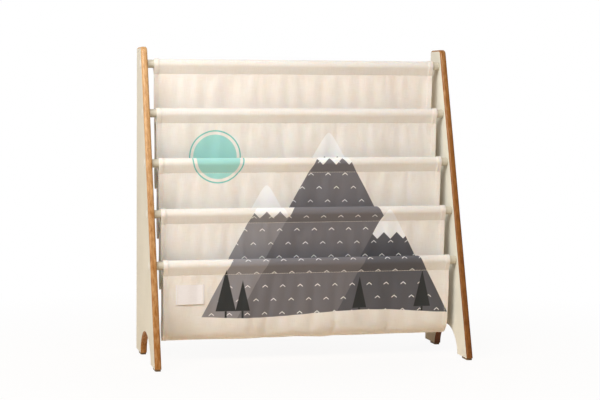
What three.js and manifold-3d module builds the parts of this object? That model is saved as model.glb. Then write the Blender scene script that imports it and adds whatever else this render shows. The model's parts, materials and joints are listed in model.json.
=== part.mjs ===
// Sling bookshelf: two board sides joined by five rods, with a canvas sling hung over
// the rods in four pockets, each one lower and further forward than the last.
// Millimetres. X runs to the right, Y to the back and Z up. The origin is on the floor,
// in the middle of the four feet.

import * as THREE from 'three';
import { mergeVertices } from 'three/addons/utils/BufferGeometryUtils.js';
import Module from 'manifold-3d';

const wasm = await Module();
wasm.setup();

// Overall size
const WIDTH = 610;
const HEIGHT = 594;
const FOOT_DEPTH = 263; // at the floor
const FRONT_Y = -132.1; // the front edge's line at the floor
const FRONT_LEAN = 182.4; // how far the front edge runs back from foot to top
const REAR_LEAN = 20.2; // how far the rear edge runs forward from foot to top
const CLEAR = 0.3; // gap left between pieces that touch

// Side boards
const BOARD = 12.5;
const EDGE_ROUND = 4;
const EDGE_STEPS = 3;
const ARCH_MIDDLE = -3.5;
const ARCH_HALF_WIDTH = 67.5; // at the floor
const ARCH_TOP = 52.5; // above the floor
const FOOT_OFFCUT = 10; // below the floor, sawn off after the edges are rounded over
const TOP_FRONT_ROUND = 10;
const TOP_REAR_ROUND = 6;
const OUTLINE_STEPS = 4;

// Foot pads
const PAD_HEIGHT = 4;
const PAD_WIDTH = 10.4;
const PAD_LENGTH = 32;
const PAD_ROUND = 3;
const FRONT_PAD_MIDDLE = 20; // from the foot's outer edge to the pad's middle
const REAR_PAD_MIDDLE = 47;

// Rods, from top to bottom
const ROD_COUNT = 5;
const ROD_RADIUS = 8;
const ROD_PITCH = 94;
const TOP_ROD_HEIGHT = 561.5;
const ROD_SETBACK = 18; // from the front edge of the sides to the rod's middle
const ROD_END_BEVEL = 0.8;
const ROD_BORE_RADIUS = 5;
const ROD_BORE_DEPTH = 20;
const ROD_SIDES = 18;

// Fasteners: depths are measured inwards from the outer face of a side
const CAP_SEAT_RADIUS = 7;
const CAP_SEAT_DEPTH = 5;
const CAP_RADIUS = 8;
const CAP_DOME = 1.5;
const CAP_STEM_RADIUS = 6.6;
const CAP_STEM_DEPTH = 1.2;
const CAP_SIDES = 16;
const SCREW_RADIUS = 3;
const SCREW_HOLE_RADIUS = 3.4;
const SCREW_HEAD_RADIUS = 5.6;
const SCREW_HEAD_HEIGHT = 3.1;
const SCREW_HEAD_BEVEL = 1.5;
const SCREW_END_DEPTH = 30;
const SCREW_END_BEVEL = 0.9;
const DRILL_OVERRUN = 2;
const INSERT_RADIUS = 4.7;
const INSERT_BORE_RADIUS = 3.3;
const INSERT_START = 0.6; // below the rod's end face
const INSERT_LENGTH = 14;
const FASTENER_SIDES = 12;

// Canvas sling
const CANVAS = 1.2;
const SLING_WIDTH = 558.5;
const SLEEVE_RADIUS = 8.3; // inside the sleeve
const SLEEVE_MEETING = 16.5; // below the rod's middle, where the sleeve's two layers meet
const STITCH_DROP = 18.7; // from the rod's middle to the stitch line
const SLEEVE_STEPS = 9;
const LAYER_OFFSET = 0.9; // the two layers hung from one stitch line lie this far either side
const POCKET_DEPTH = 144; // from the lip rod's middle to the lowest point of the trough
const BACK_UPPER = { drop: 85, behind: 6 }; // below and behind the rod that a pocket hangs from
const BACK_LOWER = { drop: 140, behind: 7 };
const TROUGH_BACK = { rise: 40, behind: 12 }; // above its lowest point, and behind that rod
const TROUGH_LOWEST_BEHIND = 4;
const TROUGH_FRONT_RISE = 50;
const FRONT_DROP = 60; // below the lip rod
const FRONT_RESTING = { lower: 8, upper: 5.6 }; // behind the lip rod, on the next pocket's back
const FRONT_FREE = { lower: 3, upper: 2 }; // the lowest pocket's front hangs free
const POCKET_ROWS = 22;
const POCKET_COLUMNS = 18;
const TROUGH_CROWDING = 0.08; // how much closer together the rows lie in the trough
const FOLDS = [
  { wavelength: 196, height: 1.5, phase: 0.6 },
  { wavelength: 127, height: 0.9, phase: 2.3 },
];
const FOLD_ONSET = 55; // how far below a rod the folds reach about two thirds of their height
const FOLD_BLEND = 0.12; // share of a pocket's length, each side of its lowest point

// Sewn label on the front canvas, bare
const LABEL_LEFT = -255;
const LABEL_RIGHT = -202;
const LABEL_BOTTOM = 112;
const LABEL_TOP = 149;
const LABEL_THICKNESS = 0.8;
const LABEL_SLACK = 0.5; // how far it stands off the canvas between its stitches
const LABEL_STEPS = 6;

const REAR_Y = FRONT_Y + FOOT_DEPTH;
const SIDES = [{ word: 'left', sign: -1 }, { word: 'right', sign: 1 }];

const boardPaint = new THREE.MeshStandardMaterial({ color: 0xe9e6d9, roughness: 0.55 });
const rodPaint = new THREE.MeshStandardMaterial({ color: 0xe6e3d6, roughness: 0.5 });
const canvas = new THREE.MeshStandardMaterial({ color: 0xefe6da, roughness: 0.95 });
const labelCloth = new THREE.MeshStandardMaterial({ color: 0xf7f4ee, roughness: 0.8 });
const steel = new THREE.MeshStandardMaterial({ color: 0x9a9a98, roughness: 0.35, metalness: 1 });
const brass = new THREE.MeshStandardMaterial({ color: 0xb08a45, roughness: 0.4, metalness: 1 });
const capPlastic = new THREE.MeshStandardMaterial({ color: 0xece9dc, roughness: 0.45 });
const padPlastic = new THREE.MeshStandardMaterial({ color: 0x6b5330, roughness: 0.7 });

const shelf = new THREE.Group();

function addPiece(name, geometry, material) {
  const piece = new THREE.Mesh(geometry, material);
  piece.name = name;
  shelf.add(piece);
  return piece;
}

// A side view is drawn with x along world Y and y along world Z, and extruded along world X.
const SIDE_VIEW = new THREE.Matrix4().makeBasis(
  new THREE.Vector3(0, 1, 0),
  new THREE.Vector3(0, 0, 1),
  new THREE.Vector3(1, 0, 0),
);

const frontEdgeAt = (z) => FRONT_Y + (FRONT_LEAN * z) / HEIGHT;
const rearEdgeAt = (z) => REAR_Y - (REAR_LEAN * z) / HEIGHT;

const rods = Array.from({ length: ROD_COUNT }, (_, i) => {
  const z = TOP_ROD_HEIGHT - i * ROD_PITCH;
  return { number: i + 1, y: frontEdgeAt(z) + ROD_SETBACK, z };
});

function solidOf(geometry) {
  const bare = geometry.clone();
  bare.deleteAttribute('normal');
  bare.deleteAttribute('uv');
  const merged = mergeVertices(bare, 1e-4);
  return new wasm.Manifold(new wasm.Mesh({
    numProp: 3,
    vertProperties: new Float32Array(merged.attributes.position.array),
    triVerts: new Uint32Array(merged.index.array),
  }));
}

function geometryOf(solid) {
  const mesh = solid.getMesh();
  const geometry = new THREE.BufferGeometry();
  geometry.setAttribute('position', new THREE.BufferAttribute(mesh.vertProperties, 3));
  geometry.setIndex(new THREE.BufferAttribute(mesh.triVerts, 1));
  return geometry;
}

// Turned pieces are drawn as [radius, depth] from the outer face of a side, inwards.
function turned(points, sides) {
  const profile = points.map(([radius, depth]) => new THREE.Vector2(radius, depth));
  return new THREE.LatheGeometry(profile, sides);
}

// Stands a turned piece on a rod's line, pointing inwards from one side's outer face.
function placeOnRodLine(piece, side, rod) {
  piece.position.set((side.sign * WIDTH) / 2, rod.y, rod.z);
  piece.rotation.z = (side.sign * Math.PI) / 2;
  return piece;
}

// Rounds the corner of an outline drawn anticlockwise, with an arc that touches both edges.
function roundCorner(outline, before, corner, after, radius) {
  const back = before.clone().sub(corner).normalize();
  const on = after.clone().sub(corner).normalize();
  const halfAngle = Math.acos(back.dot(on)) / 2;
  const centre = back.clone().add(on).normalize()
    .multiplyScalar(radius / Math.sin(halfAngle)).add(corner);
  const touch = corner.clone().addScaledVector(back, radius / Math.tan(halfAngle)).sub(centre);
  const leave = corner.clone().addScaledVector(on, radius / Math.tan(halfAngle)).sub(centre);
  outline.absarc(centre.x, centre.y, radius, touch.angle(), leave.angle(), false);
}

// The board in side view: it tapers upwards and stands on two feet with an arch between.
function boardOutline() {
  const corner = (y, z) => new THREE.Vector2(y, z);
  const frontFoot = corner(frontEdgeAt(-FOOT_OFFCUT), -FOOT_OFFCUT);
  const rearFoot = corner(rearEdgeAt(-FOOT_OFFCUT), -FOOT_OFFCUT);
  const rearTop = corner(rearEdgeAt(HEIGHT), HEIGHT);
  const frontTop = corner(frontEdgeAt(HEIGHT), HEIGHT);
  const archFront = ARCH_MIDDLE - ARCH_HALF_WIDTH;
  const archRear = ARCH_MIDDLE + ARCH_HALF_WIDTH;

  const outline = new THREE.Shape();
  outline.moveTo(frontFoot.x, frontFoot.y);
  outline.lineTo(archFront, -FOOT_OFFCUT);
  outline.absellipse(ARCH_MIDDLE, 0, ARCH_HALF_WIDTH, ARCH_TOP, Math.PI, Math.PI / 2, true, 0);
  outline.absellipse(ARCH_MIDDLE, 0, ARCH_HALF_WIDTH, ARCH_TOP, Math.PI / 2, 0, true, 0);
  outline.lineTo(archRear, -FOOT_OFFCUT);
  outline.lineTo(rearFoot.x, rearFoot.y);
  roundCorner(outline, rearFoot, rearTop, frontTop, TOP_REAR_ROUND);
  roundCorner(outline, rearTop, frontTop, frontFoot, TOP_FRONT_ROUND);
  outline.closePath();
  return outline;
}

// The stepped hole for one screw: a seat for its head and cap, then a clearance hole.
function screwHole(side, rod) {
  const drill = solidOf(turned([
    [0, -DRILL_OVERRUN],
    [CAP_SEAT_RADIUS, -DRILL_OVERRUN],
    [CAP_SEAT_RADIUS, CAP_SEAT_DEPTH],
    [SCREW_HOLE_RADIUS, CAP_SEAT_DEPTH],
    [SCREW_HOLE_RADIUS, BOARD + DRILL_OVERRUN],
    [0, BOARD + DRILL_OVERRUN],
  ], CAP_SIDES));
  const place = placeOnRodLine(new THREE.Object3D(), side, rod);
  place.updateMatrix();
  return drill.transform(place.matrix.elements);
}

function addSideBoards() {
  for (const side of SIDES) {
    const slab = new THREE.ExtrudeGeometry(boardOutline(), {
      depth: BOARD - 2 * EDGE_ROUND,
      bevelThickness: EDGE_ROUND,
      bevelSize: EDGE_ROUND,
      bevelOffset: -EDGE_ROUND,
      bevelSegments: EDGE_STEPS,
      curveSegments: OUTLINE_STEPS,
    });
    slab.applyMatrix4(SIDE_VIEW);
    const nearest = side.sign < 0 ? -WIDTH / 2 : WIDTH / 2 - BOARD;
    slab.translate(nearest + EDGE_ROUND, 0, 0);
    const sawn = solidOf(slab).trimByPlane([0, 0, 1], PAD_HEIGHT);
    const drilled = rods.reduce((board, rod) => board.subtract(screwHole(side, rod)), sawn);
    addPiece(`${side.word}_side_panel`, geometryOf(drilled), boardPaint);
  }
}

function addFootPads() {
  const pad = new THREE.Shape();
  const x = PAD_LENGTH / 2;
  const y = PAD_WIDTH / 2;
  const corners = [[-x, -y], [x, -y], [x, y], [-x, y]].map(([a, b]) => new THREE.Vector2(a, b));
  corners.forEach((corner, i) => {
    roundCorner(pad, corners[(i + 3) % 4], corner, corners[(i + 1) % 4], PAD_ROUND);
  });
  pad.closePath();
  const slab = new THREE.ExtrudeGeometry(pad, {
    depth: PAD_HEIGHT - CLEAR,
    bevelEnabled: false,
    curveSegments: 2,
  });
  const feet = [
    { word: 'front', y: FRONT_Y + FRONT_PAD_MIDDLE },
    { word: 'rear', y: REAR_Y - REAR_PAD_MIDDLE },
  ];
  for (const side of SIDES) {
    for (const foot of feet) {
      const piece = addPiece(`foot_pad_${foot.word}_${side.word}`, slab, padPlastic);
      piece.rotation.z = Math.PI / 2;
      piece.position.set((side.sign * (WIDTH - BOARD)) / 2, foot.y, 0);
    }
  }
}

function addRods() {
  const end = WIDTH / 2 - BOARD - CLEAR;
  const length = 2 * end;
  const dowel = turned([
    [0, ROD_BORE_DEPTH],
    [ROD_BORE_RADIUS, ROD_BORE_DEPTH],
    [ROD_BORE_RADIUS, 0],
    [ROD_RADIUS - ROD_END_BEVEL, 0],
    [ROD_RADIUS, ROD_END_BEVEL],
    [ROD_RADIUS, length - ROD_END_BEVEL],
    [ROD_RADIUS - ROD_END_BEVEL, length],
    [ROD_BORE_RADIUS, length],
    [ROD_BORE_RADIUS, length - ROD_BORE_DEPTH],
    [0, length - ROD_BORE_DEPTH],
  ], ROD_SIDES);
  for (const rod of rods) {
    const piece = addPiece(`dowel_rod_${rod.number}`, dowel, rodPaint);
    piece.rotation.z = -Math.PI / 2;
    piece.position.set(-end, rod.y, rod.z);
  }
}

function addFasteners() {
  const headTop = CAP_SEAT_DEPTH - CLEAR - SCREW_HEAD_HEIGHT;
  const headUnderside = CAP_SEAT_DEPTH - CLEAR;
  const screw = turned([
    [0, headTop],
    [SCREW_HEAD_RADIUS - SCREW_HEAD_BEVEL, headTop],
    [SCREW_HEAD_RADIUS, headTop + SCREW_HEAD_BEVEL],
    [SCREW_HEAD_RADIUS, headUnderside],
    [SCREW_RADIUS, headUnderside],
    [SCREW_RADIUS, SCREW_END_DEPTH - SCREW_END_BEVEL],
    [SCREW_RADIUS - SCREW_END_BEVEL, SCREW_END_DEPTH],
    [0, SCREW_END_DEPTH],
  ], FASTENER_SIDES);
  const insertTop = BOARD + CLEAR + INSERT_START;
  const insertEnd = insertTop + INSERT_LENGTH;
  const insert = turned([
    [INSERT_BORE_RADIUS, insertTop],
    [INSERT_RADIUS, insertTop],
    [INSERT_RADIUS, insertEnd],
    [INSERT_BORE_RADIUS, insertEnd],
    [INSERT_BORE_RADIUS, insertTop],
  ], FASTENER_SIDES);
  const cap = turned([
    [0, -CAP_DOME],
    [CAP_RADIUS * 0.55, -CAP_DOME * 0.85],
    [CAP_RADIUS * 0.88, -CAP_DOME * 0.45],
    [CAP_RADIUS, -CLEAR],
    [CAP_STEM_RADIUS, -CLEAR],
    [CAP_STEM_RADIUS, CAP_STEM_DEPTH],
    [0, CAP_STEM_DEPTH],
  ], CAP_SIDES);
  for (const side of SIDES) {
    for (const rod of rods) {
      const place = `${side.word}_${rod.number}`;
      placeOnRodLine(addPiece(`rod_screw_${place}`, screw, steel), side, rod);
      placeOnRodLine(addPiece(`threaded_insert_${place}`, insert, brass), side, rod);
      placeOnRodLine(addPiece(`screw_cap_${place}`, cap, capPlastic), side, rod);
    }
  }
}

// Draws a circle round the rod that runs down on both sides, in straight lines that touch
// the circle, to the point or the pair of points halfWidth either side of its middle.
function drawTeardrop(path, radius, halfWidth, drop) {
  const distance = Math.hypot(halfWidth, drop);
  const touch = Math.acos(radius / distance) - Math.atan2(drop, halfWidth);
  path.absarc(0, 0, radius, touch, Math.PI - touch, false);
  path.lineTo(-halfWidth, -drop);
}

// A sleeve goes round its rod, and its two layers are sewn together below the rod.
function addSleeves() {
  const halfTail = LAYER_OFFSET + CANVAS / 2;
  const wrap = new THREE.Shape();
  drawTeardrop(wrap, SLEEVE_RADIUS + CANVAS, halfTail, SLEEVE_MEETING + CANVAS);
  wrap.lineTo(-halfTail, -STITCH_DROP);
  wrap.lineTo(halfTail, -STITCH_DROP);
  wrap.lineTo(halfTail, -SLEEVE_MEETING - CANVAS);
  wrap.closePath();
  const tunnel = new THREE.Path();
  drawTeardrop(tunnel, SLEEVE_RADIUS, 0, SLEEVE_MEETING);
  tunnel.closePath();
  wrap.holes.push(tunnel);
  const sleeve = new THREE.ExtrudeGeometry(wrap, {
    depth: SLING_WIDTH,
    bevelEnabled: false,
    curveSegments: SLEEVE_STEPS,
  }).applyMatrix4(SIDE_VIEW);
  for (const rod of rods) {
    const piece = addPiece(`rod_sleeve_${rod.number}`, sleeve, canvas);
    piece.position.set(-SLING_WIDTH / 2, rod.y, rod.z);
  }
}

// How far the cloth hung from one rod stands off, at x along it and drop below it. Both
// layers hung from a rod share these folds, as they lie on each other.
function foldAt(x, drop, rod) {
  const grown = 1 - Math.exp(-Math.max(0, drop - STITCH_DROP) / FOLD_ONSET);
  const wave = ({ wavelength, height, phase }) => (
    height * Math.sin((2 * Math.PI * x) / wavelength + phase * rod.number)
  );
  return grown * FOLDS.reduce((sum, fold) => sum + wave(fold), 0);
}

// A quarter of an ellipse from one point to another, as points. It leaves the first point
// vertically when upright is true, and otherwise reaches the last point vertically.
function quarter(from, to, upright, steps = 5) {
  return Array.from({ length: steps }, (_, i) => {
    const angle = (Math.PI / 2) * ((i + 0.5) / steps);
    const [across, along] = upright
      ? [1 - Math.cos(angle), Math.sin(angle)]
      : [Math.sin(angle), 1 - Math.cos(angle)];
    return new THREE.Vector2(from.x + (to.x - from.x) * across, from.y + (to.y - from.y) * along);
  });
}

// One pocket in side view: its back hangs from one rod, and it turns up in a wide trough
// to the next rod, its lip. Each upper pocket's front lies against the back of the next.
function pocketPath(rod, lip) {
  const point = (y, z) => new THREE.Vector2(y, z);
  const front = lip.number === ROD_COUNT ? FRONT_FREE : FRONT_RESTING;
  const bottomZ = lip.z - POCKET_DEPTH;
  const backAtTrough = point(rod.y + TROUGH_BACK.behind, bottomZ + TROUGH_BACK.rise);
  const bottom = point(rod.y + TROUGH_LOWEST_BEHIND, bottomZ);
  const frontAtTrough = point(lip.y + front.lower, bottomZ + TROUGH_FRONT_RISE);
  return new THREE.SplineCurve([
    point(rod.y - LAYER_OFFSET, rod.z - STITCH_DROP - CLEAR),
    point(rod.y + BACK_UPPER.behind, rod.z - BACK_UPPER.drop),
    point(rod.y + BACK_LOWER.behind, rod.z - BACK_LOWER.drop),
    backAtTrough,
    ...quarter(backAtTrough, bottom, true),
    bottom,
    ...quarter(bottom, frontAtTrough, false),
    frontAtTrough,
    point(lip.y + front.upper, lip.z - FRONT_DROP),
    point(lip.y + LAYER_OFFSET, lip.z - STITCH_DROP - CLEAR),
  ]);
}

// The pocket's cloth as a surface: across runs from 0 at the left hem to 1 at the right,
// and along from 0 at the upper rod to 1 at the lip rod.
function pocketSurface(rod, lip) {
  const path = pocketPath(rod, lip);
  const troughShare = 1 - POCKET_DEPTH / path.getLength();
  const turn = (share) => Math.sin(2 * Math.PI * (share - troughShare));
  return (across, along) => {
    const share = along - TROUGH_CROWDING * (turn(along) - turn(0));
    const at = path.getPointAt(THREE.MathUtils.clamp(share, 0, 1));
    const x = (across - 0.5) * SLING_WIDTH;
    const toFront = THREE.MathUtils.smoothstep(share, troughShare - FOLD_BLEND, troughShare + FOLD_BLEND);
    const fold = THREE.MathUtils.lerp(foldAt(x, rod.z - at.y, rod), foldAt(x, lip.z - at.y, lip), toFront);
    return new THREE.Vector3(x, at.x + fold, at.y);
  };
}

// Closes a sheet of cloth round a surface: a grid of points on each face, half the
// thickness either side, joined along the four edges.
function clothSolid(surface, columns, rows, thickness) {
  const step = 1e-3;
  const positions = [];
  for (const side of [-1, 1]) {
    for (let row = 0; row <= rows; row += 1) {
      for (let column = 0; column <= columns; column += 1) {
        const across = column / columns;
        const along = row / rows;
        const nextAlong = Math.min(1, along + step);
        const lastAlong = Math.max(0, along - step);
        const alongX = surface(across + step, along).sub(surface(across - step, along));
        const alongPath = surface(across, nextAlong).sub(surface(across, lastAlong));
        const outward = alongX.cross(alongPath).normalize();
        const point = surface(across, along).addScaledVector(outward, (side * thickness) / 2);
        positions.push(point.x, point.y, point.z);
      }
    }
  }
  const at = (face, row, column) => (face * (rows + 1) + row) * (columns + 1) + column;
  const triangles = [];
  const quad = (a, b, c, d) => triangles.push(a, b, c, a, c, d);
  for (let row = 0; row < rows; row += 1) {
    for (let column = 0; column < columns; column += 1) {
      quad(at(1, row, column), at(1, row, column + 1), at(1, row + 1, column + 1), at(1, row + 1, column));
      quad(at(0, row, column), at(0, row + 1, column), at(0, row + 1, column + 1), at(0, row, column + 1));
    }
    quad(at(0, row, 0), at(1, row, 0), at(1, row + 1, 0), at(0, row + 1, 0));
    quad(at(0, row, columns), at(0, row + 1, columns), at(1, row + 1, columns), at(1, row, columns));
  }
  for (let column = 0; column < columns; column += 1) {
    quad(at(0, 0, column), at(0, 0, column + 1), at(1, 0, column + 1), at(1, 0, column));
    quad(at(0, rows, column), at(1, rows, column), at(1, rows, column + 1), at(0, rows, column + 1));
  }
  const geometry = new THREE.BufferGeometry();
  geometry.setAttribute('position', new THREE.Float32BufferAttribute(positions, 3));
  geometry.setIndex(triangles);
  return geometry;
}

function addPockets() {
  for (let i = 0; i + 1 < rods.length; i += 1) {
    const surface = pocketSurface(rods[i], rods[i + 1]);
    const cloth = clothSolid(surface, POCKET_COLUMNS, POCKET_ROWS, CANVAS);
    addPiece(`canvas_pocket_${i + 1}`, cloth, canvas);
  }
}

// The label lies on the front of the lowest pocket and follows its folds.
function addLabel() {
  const lip = rods[ROD_COUNT - 1];
  const front = pocketPath(rods[ROD_COUNT - 2], lip);
  const halfway = 200;
  const points = front.getSpacedPoints(2 * halfway).slice(halfway);
  const yAt = (z) => points.reduce((best, p) => (Math.abs(p.y - z) < Math.abs(best.y - z) ? p : best)).x;
  const standOff = CANVAS / 2 + CLEAR + LABEL_THICKNESS / 2 + LABEL_SLACK;
  const surface = (across, along) => {
    const x = THREE.MathUtils.lerp(LABEL_LEFT, LABEL_RIGHT, across);
    const z = THREE.MathUtils.lerp(LABEL_BOTTOM, LABEL_TOP, along);
    return new THREE.Vector3(x, yAt(z) + foldAt(x, lip.z - z, lip) - standOff, z);
  };
  addPiece('canvas_label', clothSolid(surface, LABEL_STEPS, LABEL_STEPS, LABEL_THICKNESS), labelCloth);
}

addSideBoards();
addFootPads();
addRods();
addFasteners();
addSleeves();
addPockets();
addLabel();

export default shelf;
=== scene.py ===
import json
import math

import bpy
import numpy as np
from mathutils import Matrix, Vector
from mathutils.bvhtree import BVHTree

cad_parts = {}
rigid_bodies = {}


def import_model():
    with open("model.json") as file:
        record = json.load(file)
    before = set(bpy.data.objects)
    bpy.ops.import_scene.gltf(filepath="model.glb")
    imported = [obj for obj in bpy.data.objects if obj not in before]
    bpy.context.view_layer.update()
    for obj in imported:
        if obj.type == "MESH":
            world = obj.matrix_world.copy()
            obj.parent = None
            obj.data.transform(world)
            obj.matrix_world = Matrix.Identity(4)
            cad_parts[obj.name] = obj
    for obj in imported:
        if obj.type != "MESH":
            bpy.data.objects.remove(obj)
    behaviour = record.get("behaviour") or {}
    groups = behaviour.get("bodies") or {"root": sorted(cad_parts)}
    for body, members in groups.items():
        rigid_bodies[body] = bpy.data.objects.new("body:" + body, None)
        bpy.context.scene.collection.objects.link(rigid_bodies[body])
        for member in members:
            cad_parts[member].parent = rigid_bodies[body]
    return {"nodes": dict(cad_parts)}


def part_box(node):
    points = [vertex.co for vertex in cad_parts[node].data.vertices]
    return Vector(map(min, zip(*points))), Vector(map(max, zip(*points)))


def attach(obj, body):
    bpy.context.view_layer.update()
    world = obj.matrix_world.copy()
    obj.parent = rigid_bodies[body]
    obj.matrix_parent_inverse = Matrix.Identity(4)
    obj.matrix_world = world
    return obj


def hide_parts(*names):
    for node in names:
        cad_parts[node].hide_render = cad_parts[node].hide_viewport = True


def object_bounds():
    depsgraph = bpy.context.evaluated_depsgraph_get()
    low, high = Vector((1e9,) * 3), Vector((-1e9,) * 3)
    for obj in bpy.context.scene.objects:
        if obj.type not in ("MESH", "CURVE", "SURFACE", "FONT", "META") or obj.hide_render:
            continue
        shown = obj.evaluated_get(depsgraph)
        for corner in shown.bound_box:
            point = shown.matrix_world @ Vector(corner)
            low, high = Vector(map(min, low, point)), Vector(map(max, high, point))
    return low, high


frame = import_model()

cad_box = [list(corner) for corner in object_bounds()]
scene = bpy.context.scene
MM = 0.001
SHARP_ABOVE = 35

# The view: a long lens, to the left of the shelf's middle and a little above it, as the
# photograph was taken. Places are in metres from the middle of the four feet.
CAMERA_PLACE = Vector((-0.70699, -2.945, 0.5002))
YAW = math.radians(13.4167)
PITCH = math.radians(-3.7606)
ROLL = math.radians(0.2285)
FOCAL_PIXELS = 1574.03
PHOTO_WIDTH_PIXELS = 600
SENSOR_WIDTH = 36

forward = Vector((math.sin(YAW) * math.cos(PITCH), math.cos(YAW) * math.cos(PITCH), math.sin(PITCH)))
level = Vector((math.cos(YAW), -math.sin(YAW), 0))
upright = level.cross(forward)
right = level * math.cos(ROLL) + upright * math.sin(ROLL)
up = upright * math.cos(ROLL) - level * math.sin(ROLL)
lens = bpy.data.cameras.new("camera")
lens.sensor_width = SENSOR_WIDTH
lens.lens = SENSOR_WIDTH * FOCAL_PIXELS / PHOTO_WIDTH_PIXELS
camera = bpy.data.objects.new("camera", lens)
turn_of_view = Matrix((right, up, -forward)).transposed().to_4x4()
camera.matrix_world = Matrix.Translation(CAMERA_PLACE) @ turn_of_view
scene.collection.objects.link(camera)
scene.camera = camera

# The studio: a soft lamp high on the left, a broad one further round to the left, one behind
# on the right, and a warm dim room. The camera sees the room as plain white, and the pale
# floor keeps a soft shadow.
AIM = Vector((0, 0, 0.3))
ROOM_LIGHT = (1.0, 0.68, 0.44, 1)
ROOM_STRENGTH = 0.16
FLOOR_REACH = 4
FLOOR_COLOUR = (0.78, 0.65, 0.50, 1)
FLOOR_GLOW = 0.9
FLOOR_WHITE_FROM = 1.1
WHITE = (1, 1, 1, 1)


class Shade:
    """A value in a shader. Python's operators on it add Math nodes, and node() adds any other node."""

    def __init__(self, tree, socket=None):
        self.tree = tree
        self.socket = socket

    def feed(self, socket, value):
        if isinstance(value, Shade):
            self.tree.links.new(value.socket, socket)
        else:
            socket.default_value = value

    def node(self, kind, sockets=None, output=0, **settings):
        made = self.tree.nodes.new("ShaderNode" + kind)
        for name, value in settings.items():
            setattr(made, name, value)
        for name, value in (sockets or {}).items():
            self.feed(made.inputs[name], value)
        return Shade(self.tree, made.outputs[output])

    def part(self, output):
        """Another output of the node that this value comes from."""
        return Shade(self.tree, self.socket.node.outputs[output])

    def through(self, operation, *others, clamp=False):
        values = dict(enumerate((self, *others)))
        return self.node("Math", values, operation=operation, use_clamp=clamp)

    def __add__(self, other):
        return self.through("ADD", other)

    def __sub__(self, other):
        return self.through("SUBTRACT", other)

    def __rsub__(self, other):
        return self.through("MULTIPLY_ADD", -1, other)

    def __mul__(self, other):
        return self.through("MULTIPLY", other)

    def __pow__(self, other):
        return self.through("POWER", other)

    def __abs__(self):
        return self.through("ABSOLUTE")

    __radd__ = __add__
    __rmul__ = __mul__

    def noise(self, place, stretch, detail=2, **sockets):
        """Noise with its own scale along X, Y and Z."""
        spread = self.node("Mapping", {"Vector": place, "Scale": stretch})
        return self.node("TexNoise", {"Vector": spread, "Scale": 1, "Detail": detail, **sockets})

    def bump(self, strength, depth, height):
        return self.node("Bump", {"Strength": strength, "Distance": depth, "Height": height})

    def most(self, other):
        return self.through("MAXIMUM", other)

    def clamped(self):
        return self.through("ADD", 0, clamp=True)

    def mix(self, low, high):
        """The colour low where this value is 0, and high where it is 1."""
        return self.node("Mix", {0: self, 6: low, 7: high}, output=2, data_type="RGBA")


def lamp(name, azimuth, elevation, distance, size, power, colour):
    """A square lamp aimed at the shelf. Azimuth is in degrees to the left of straight in front."""
    turn = math.radians(azimuth)
    rise = math.radians(elevation)
    away = Vector((-math.sin(turn) * math.cos(rise), -math.cos(turn) * math.cos(rise), math.sin(rise)))
    light = bpy.data.lights.new(name, "AREA")
    light.size = size
    light.energy = power
    light.color = colour
    holder = bpy.data.objects.new(name, light)
    holder.location = AIM + away * distance
    holder.rotation_mode = "QUATERNION"
    holder.rotation_quaternion = away.to_track_quat("Z", "Y")
    scene.collection.objects.link(holder)


def seen_plainly(shade):
    """1 for the rays that show the room itself: from the camera, in a gloss or through glass."""
    camera_ray, glossy_ray, clear_ray = (
        shade.node("LightPath", output=f"Is {kind} Ray") for kind in ("Camera", "Glossy", "Transmission")
    )
    return camera_ray.most(glossy_ray).most(clear_ray)


def new_finish(name, constants):
    """Starts a material. Returns it, a Shade to build on, and its Principled shader's sockets."""
    material = bpy.data.materials.new(name)
    material.use_nodes = True
    skin = material.node_tree.nodes["Principled BSDF"]
    for socket, value in constants.items():
        skin.inputs[socket].default_value = value
    return material, Shade(material.node_tree), skin.inputs


def new_piece(name, points, faces, material, sharp_above=SHARP_ABOVE):
    """A mesh object from points in metres. Edges sharper than the angle in degrees stay crisp."""
    mesh = bpy.data.meshes.new(name)
    mesh.from_pydata([tuple(p) for p in points], [], [tuple(f) for f in faces])
    mesh.materials.append(material)
    mesh.shade_smooth()
    mesh.set_sharp_from_angle(angle=math.radians(sharp_above))
    mesh.validate()
    piece = bpy.data.objects.new(name, mesh)
    scene.collection.objects.link(piece)
    return piece


lamp("key_lamp", azimuth=24, elevation=43, distance=1.9, size=0.7, power=20.5, colour=(0.97, 0.98, 1.0))
lamp("side_lamp", azimuth=58, elevation=31, distance=2.4, size=1.5, power=34, colour=(0.99, 0.99, 1.0))
lamp("back_lamp", azimuth=-138, elevation=30, distance=2.6, size=1.8, power=28, colour=(1.0, 0.98, 0.96))

room = bpy.data.worlds.new("room")
room.use_nodes = True
shade = Shade(room.node_tree)
lit_room = shade.node("Background", {"Color": ROOM_LIGHT, "Strength": ROOM_STRENGTH})
white_room = shade.node("Background", {"Color": WHITE, "Strength": 1})
shown_room = shade.node("MixShader", {0: seen_plainly(shade), 1: lit_room, 2: white_room})
shade.feed(room.node_tree.nodes["World Output"].inputs["Surface"], shown_room)
scene.world = room
scene.view_settings.view_transform = "Standard"

floor_finish, shade, skin = new_finish("pale_floor", {"Base Color": FLOOR_COLOUR, "Roughness": 0.9})
lit_floor = Shade(shade.tree, shade.tree.nodes["Principled BSDF"].outputs[0])
white_floor = shade.node("Emission", {"Color": WHITE, "Strength": 1})
place = shade.node("TexCoord", output="Object")
from_shelf = shade.node("VectorMath", {0: place}, output="Value", operation="LENGTH")
glow = (from_shelf * ((1 - FLOOR_GLOW) / FLOOR_WHITE_FROM) + FLOOR_GLOW).clamped()
shown_floor = shade.node("MixShader", {0: seen_plainly(shade) * glow, 1: lit_floor, 2: white_floor})
shade.feed(shade.tree.nodes["Material Output"].inputs["Surface"], shown_floor)
floor_corners = [(x * FLOOR_REACH, y * FLOOR_REACH, 0) for x, y in ((-1, -1), (1, -1), (1, 1), (-1, 1))]
new_piece("floor", floor_corners, [(0, 1, 2, 3)], floor_finish)

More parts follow.
